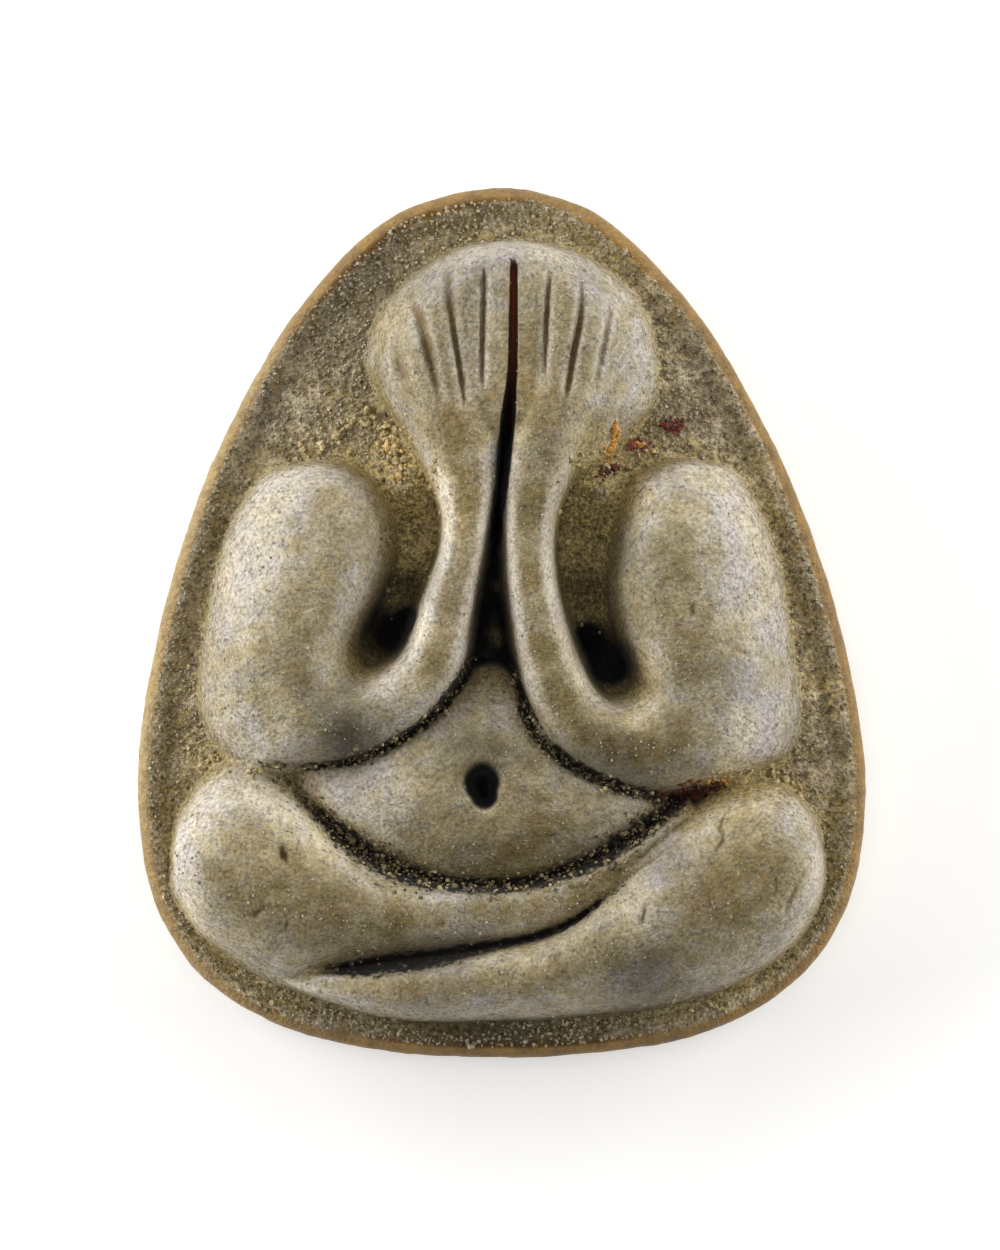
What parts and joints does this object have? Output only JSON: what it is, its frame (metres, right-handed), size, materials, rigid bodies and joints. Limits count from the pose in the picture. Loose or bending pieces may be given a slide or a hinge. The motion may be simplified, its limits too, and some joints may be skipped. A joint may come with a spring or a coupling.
{
  "type": "buddha amulet pendant",
  "caption": "Egg-shaped pressed-powder amulet, flat at the back, with a seated figure in high relief whose raised hands cover its face; worn at the neck.",
  "frame": {"origin": "on the flat back, under the middle of the amulet's width and height", "axes": "+X across the front to the viewer's right, +Y up towards the figure's head, +Z out of the front"},
  "size_m": [0.024, 0.0286, 0.0074],
  "materials": {
    "pressed_powder": "matte"
  },
  "bodies": {
    "root": {"amulet": "pressed_powder"}
  },
  "joints": []
}
